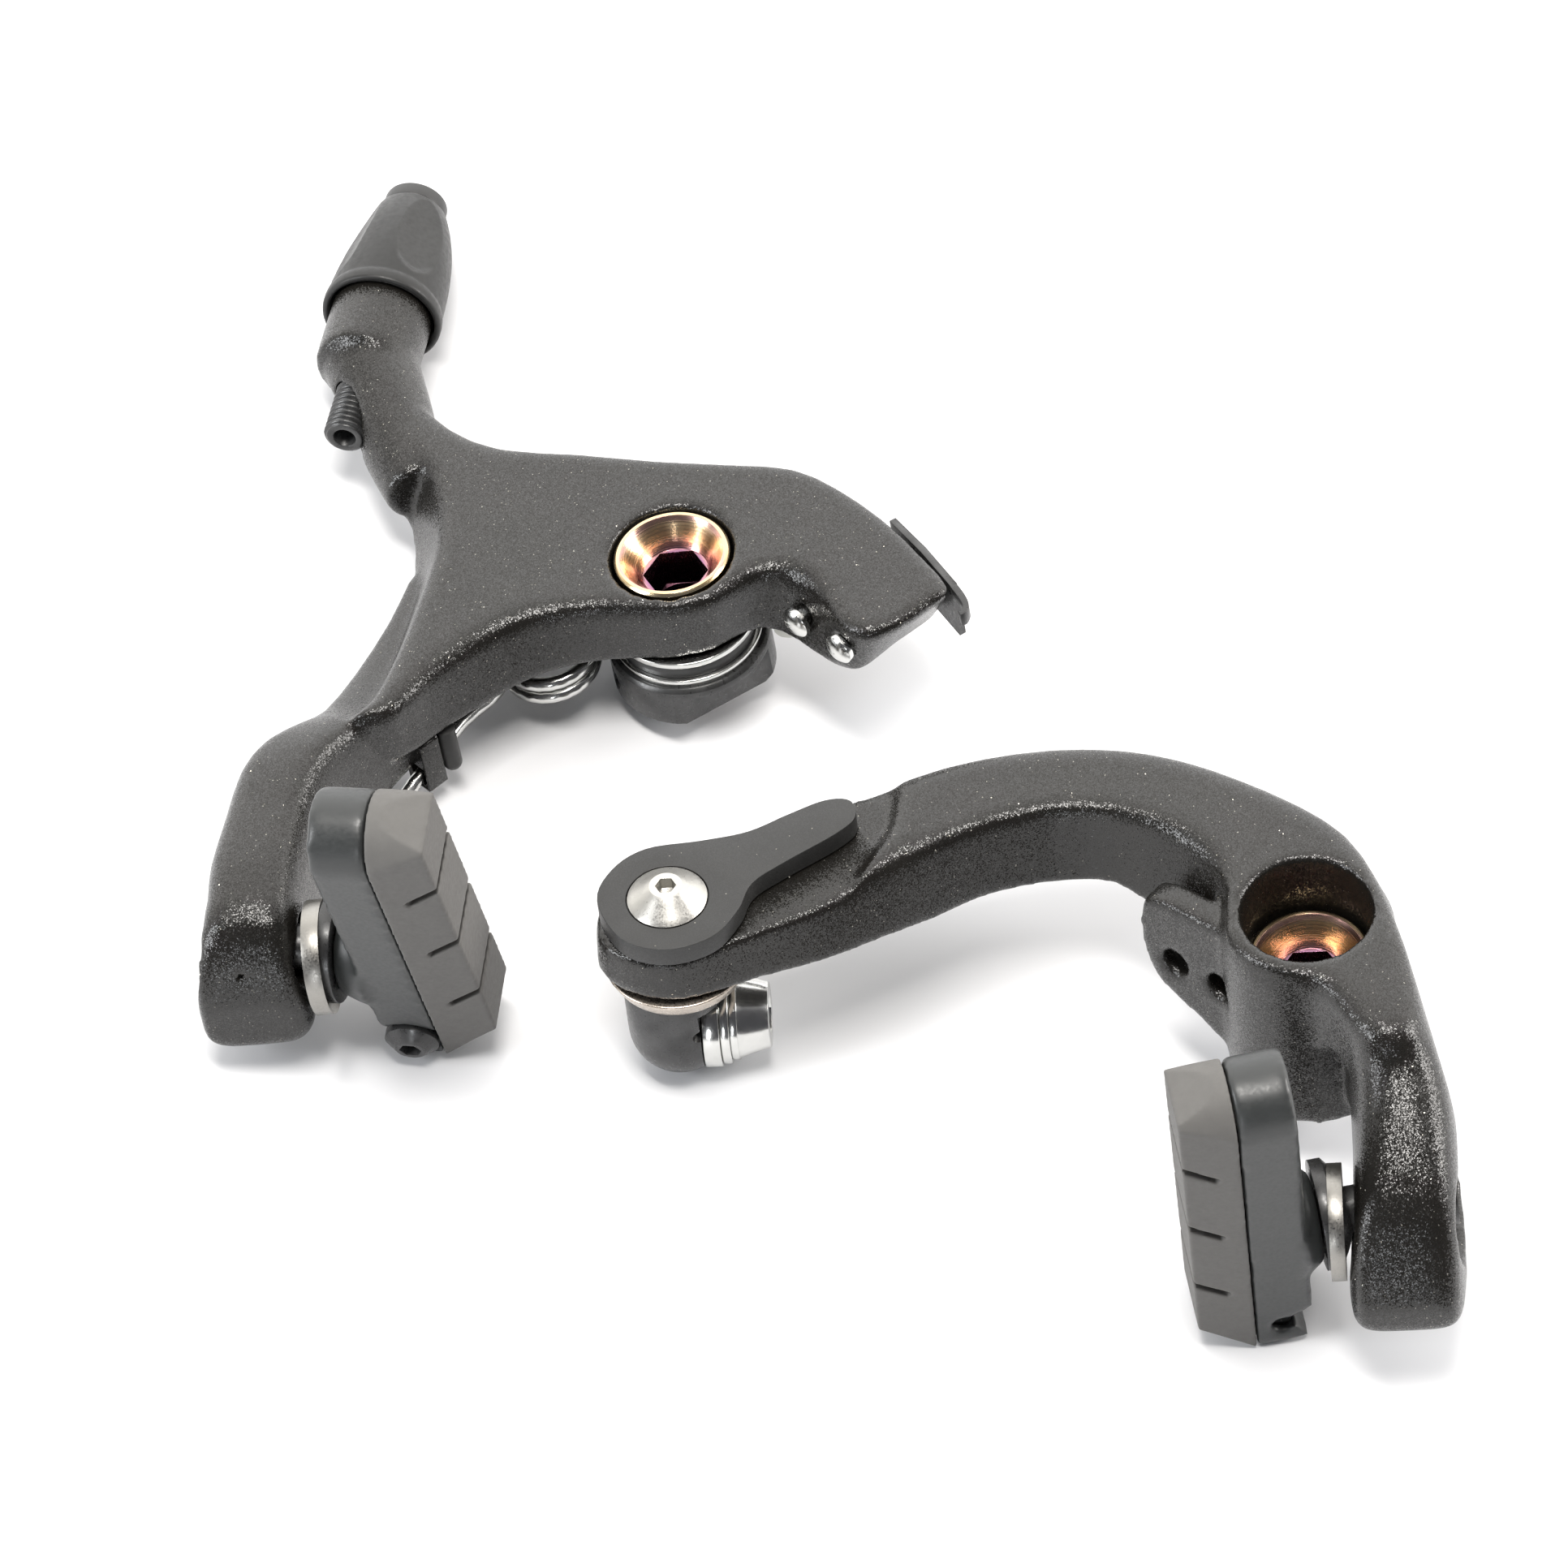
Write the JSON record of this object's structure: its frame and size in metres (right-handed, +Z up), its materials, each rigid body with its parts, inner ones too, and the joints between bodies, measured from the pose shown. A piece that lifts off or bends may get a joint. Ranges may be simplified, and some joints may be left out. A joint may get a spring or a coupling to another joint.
{
  "type": "rim brake caliper",
  "caption": "Direct-mount rim brake caliper in two cast arms with shoes, cable adjuster, quick-release lever and cable clamp, laid out flat.",
  "frame": {"origin": "middle of the ground the two arms cover, on the surface they rest on", "axes": "+Z up, +X to the picture's right, +Y away from the viewer"},
  "size_m": [0.1367, 0.1591, 0.0471],
  "materials": {
    "cast_black": "sparkling satin powder coat",
    "lever_black": "fine matt powder coat",
    "heat_coloured": "bronze to violet oxide colours on steel",
    "bright_steel": "bright plated",
    "bush": "turned",
    "ring_plastic": "plain",
    "black_steel": "black oxide",
    "spacer_plastic": "plain",
    "rubber": "matt",
    "holder": "satin anodised",
    "pad": "matt"
  },
  "bodies": {
    "castings": {"cable_stop_arm": "cast_black", "cable_anchor_arm": "cast_black", "nose_rivets": "bright_steel", "wear_plate": "spacer_plastic", "spring_collar": "cast_black", "bumper": "rubber", "return_spring": "bright_steel", "spring_sleeve": "ring_plastic", "dish_washer_a": "bright_steel", "dish_washer_b": "bright_steel"},
    "pivot_a": {"pivot_bolt_a": "heat_coloured", "bushing_a": "bush", "washer_upper_a": "bright_steel", "spacer_a": "spacer_plastic", "washer_lower_a": "bright_steel", "tension_nut_a": "black_steel", "nut_grub_screw": "black_steel"},
    "pivot_b": {"pivot_bolt_b": "heat_coloured", "bushing_b": "bush", "tension_nut_b": "black_steel"},
    "adjuster": {"cable_adjuster": "black_steel", "adjuster_boot": "rubber", "boot_cap": "spacer_plastic"},
    "lever": {"quick_release_lever": "lever_black", "lever_screw": "bright_steel", "eccentric_ring": "ring_plastic"},
    "anchor": {"anchor_body": "black_steel", "clamp_plate": "bright_steel", "clamp_washer": "bright_steel", "clamp_nut": "bright_steel"},
    "shoe_a": {"shoe_holder_a": "holder", "brake_pad_a": "pad", "pad_screw_a": "black_steel", "shoe_stud_a": "black_steel", "ball_washer_a": "black_steel"},
    "shoe_b": {"shoe_holder_b": "holder", "brake_pad_b": "pad", "pad_screw_b": "black_steel", "shoe_stud_b": "black_steel", "ball_washer_b": "black_steel"}
  },
  "joints": [
    {"name": "pivot_a_turn", "type": "hinge", "parent": "castings", "child": "pivot_a", "pos_m": [-0.01516, 0.01558, 0.01113], "axis": [-0.1397, 0.1305, 0.9816], "continuous": true},
    {"name": "pivot_b_turn", "type": "hinge", "parent": "castings", "child": "pivot_b", "pos_m": [0.05322, -0.04052, 0.01449], "axis": [-0.0864, 0.1305, 0.9877], "continuous": true},
    {"name": "adjuster_turn", "type": "hinge", "parent": "castings", "child": "adjuster", "pos_m": [-0.05137, 0.05524, 0.00784], "axis": [0.19, 0.9764, -0.1028], "continuous": true},
    {"name": "lever_turn", "type": "hinge", "parent": "castings", "child": "lever", "pos_m": [-0.01591, -0.03413, 0.01873], "axis": [-0.0864, 0.1305, 0.9877], "range_deg": [-8, 95]},
    {"name": "anchor_swivel", "type": "hinge", "parent": "castings", "child": "anchor", "pos_m": [-0.01522, -0.03518, 0.01083], "axis": [-0.0864, 0.1305, 0.9877], "range_deg": [-40, 40]},
    {"name": "shoe_a_turn", "type": "hinge", "parent": "castings", "child": "shoe_a", "pos_m": [-0.05186, -0.03203, 0.01462], "axis": [0.9763, -0.1556, 0.1506], "range_deg": [-4, 4]},
    {"name": "shoe_b_turn", "type": "hinge", "parent": "castings", "child": "shoe_b", "pos_m": [0.0525, -0.0677, 0.01685], "axis": [-0.9805, -0.1736, -0.092], "range_deg": [-4, 4]}
  ]
}
